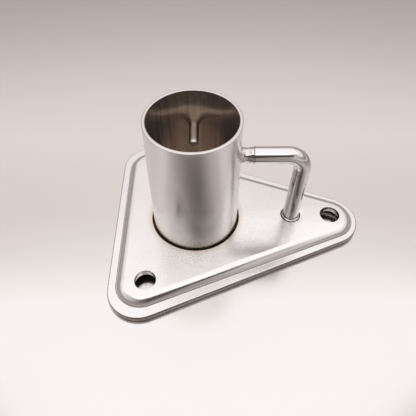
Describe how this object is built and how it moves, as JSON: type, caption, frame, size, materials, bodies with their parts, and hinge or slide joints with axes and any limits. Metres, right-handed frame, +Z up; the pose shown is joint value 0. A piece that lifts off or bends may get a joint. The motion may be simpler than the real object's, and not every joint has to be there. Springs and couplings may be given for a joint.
{
  "type": "stanchion base",
  "caption": "Stanchion base: a pressed triangular deck plate with bolt holes, an upright socket tube, a bent brace rod welded to its side, and a retaining screw through its back.",
  "frame": {"origin": "on the deck, under the middle of the plate's length and width", "axes": "+X from the plate's straight edge to its apex, +Y to the side of the retaining screw, +Z up along the socket tube"},
  "size_m": [0.0826, 0.0732, 0.0463],
  "materials": {
    "pressed_plate": "pressed stainless sheet, bead-finished and polished to a soft shine",
    "satin_tube": "satin stainless tube with a bright cut rim",
    "polished_rod": "polished stainless round bar",
    "arm_weld": "polished-over weld bead with a little heat tint",
    "under_weld": "brushed-off fillet weld with heat tint",
    "screw": "bright stainless machine screw"
  },
  "bodies": {
    "base": {"base_plate": "pressed_plate", "socket_tube": "satin_tube", "brace_rod": "polished_rod", "brace_weld": "arm_weld", "socket_weld": "under_weld", "brace_foot_weld": "under_weld"},
    "screw": {"retaining_screw": "screw"}
  },
  "joints": [
    {"name": "screw_travel", "type": "slide", "parent": "base", "child": "screw", "axis": [0, 1, 0], "range_m": [0, 0.0087]}
  ]
}
